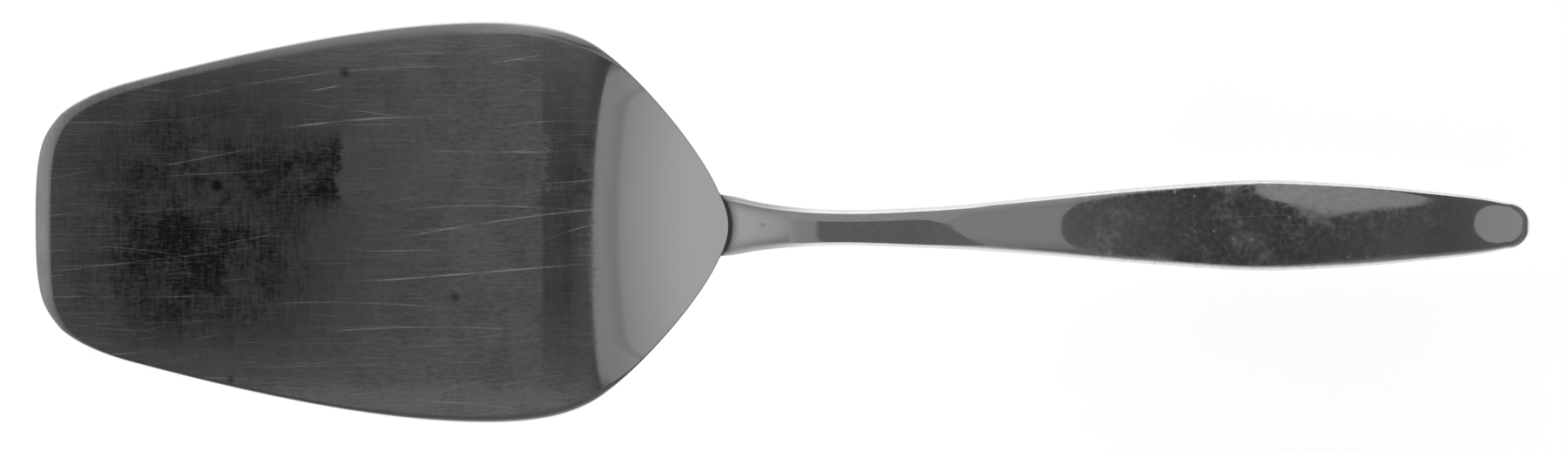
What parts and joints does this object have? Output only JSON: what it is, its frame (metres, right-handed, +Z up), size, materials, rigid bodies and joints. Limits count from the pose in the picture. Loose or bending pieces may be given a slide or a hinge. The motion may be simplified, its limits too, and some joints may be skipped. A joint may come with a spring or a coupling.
{
  "type": "cake server",
  "caption": "Cake server with a broad flat blade, bevelled nose, raised shoulder and a slim-necked hollow handle, for lifting and serving slices.",
  "frame": {"origin": "middle of the footprint, on the surface that the blade's flat and the handle's belly rest on", "axes": "+X from the nose of the blade to the tail of the handle, +Y across the blade, +Z up"},
  "size_m": [0.24, 0.0644, 0.0147],
  "materials": {
    "blade_steel": "polished, with fine use scratches",
    "bolster_steel": "satin forged",
    "handle_silver": "polished, with fine scratches and tarnish specks",
    "solder": "filed flush and polished",
    "braze": "satin",
    "cement": "matt"
  },
  "bodies": {
    "root": {"blade": "blade_steel", "blade_braze": "braze", "bolster_tang": "bolster_steel", "handle_cement": "cement", "handle_bottom_shell": "handle_silver", "seam_solder": "solder", "handle_top_shell": "handle_silver"}
  },
  "joints": []
}
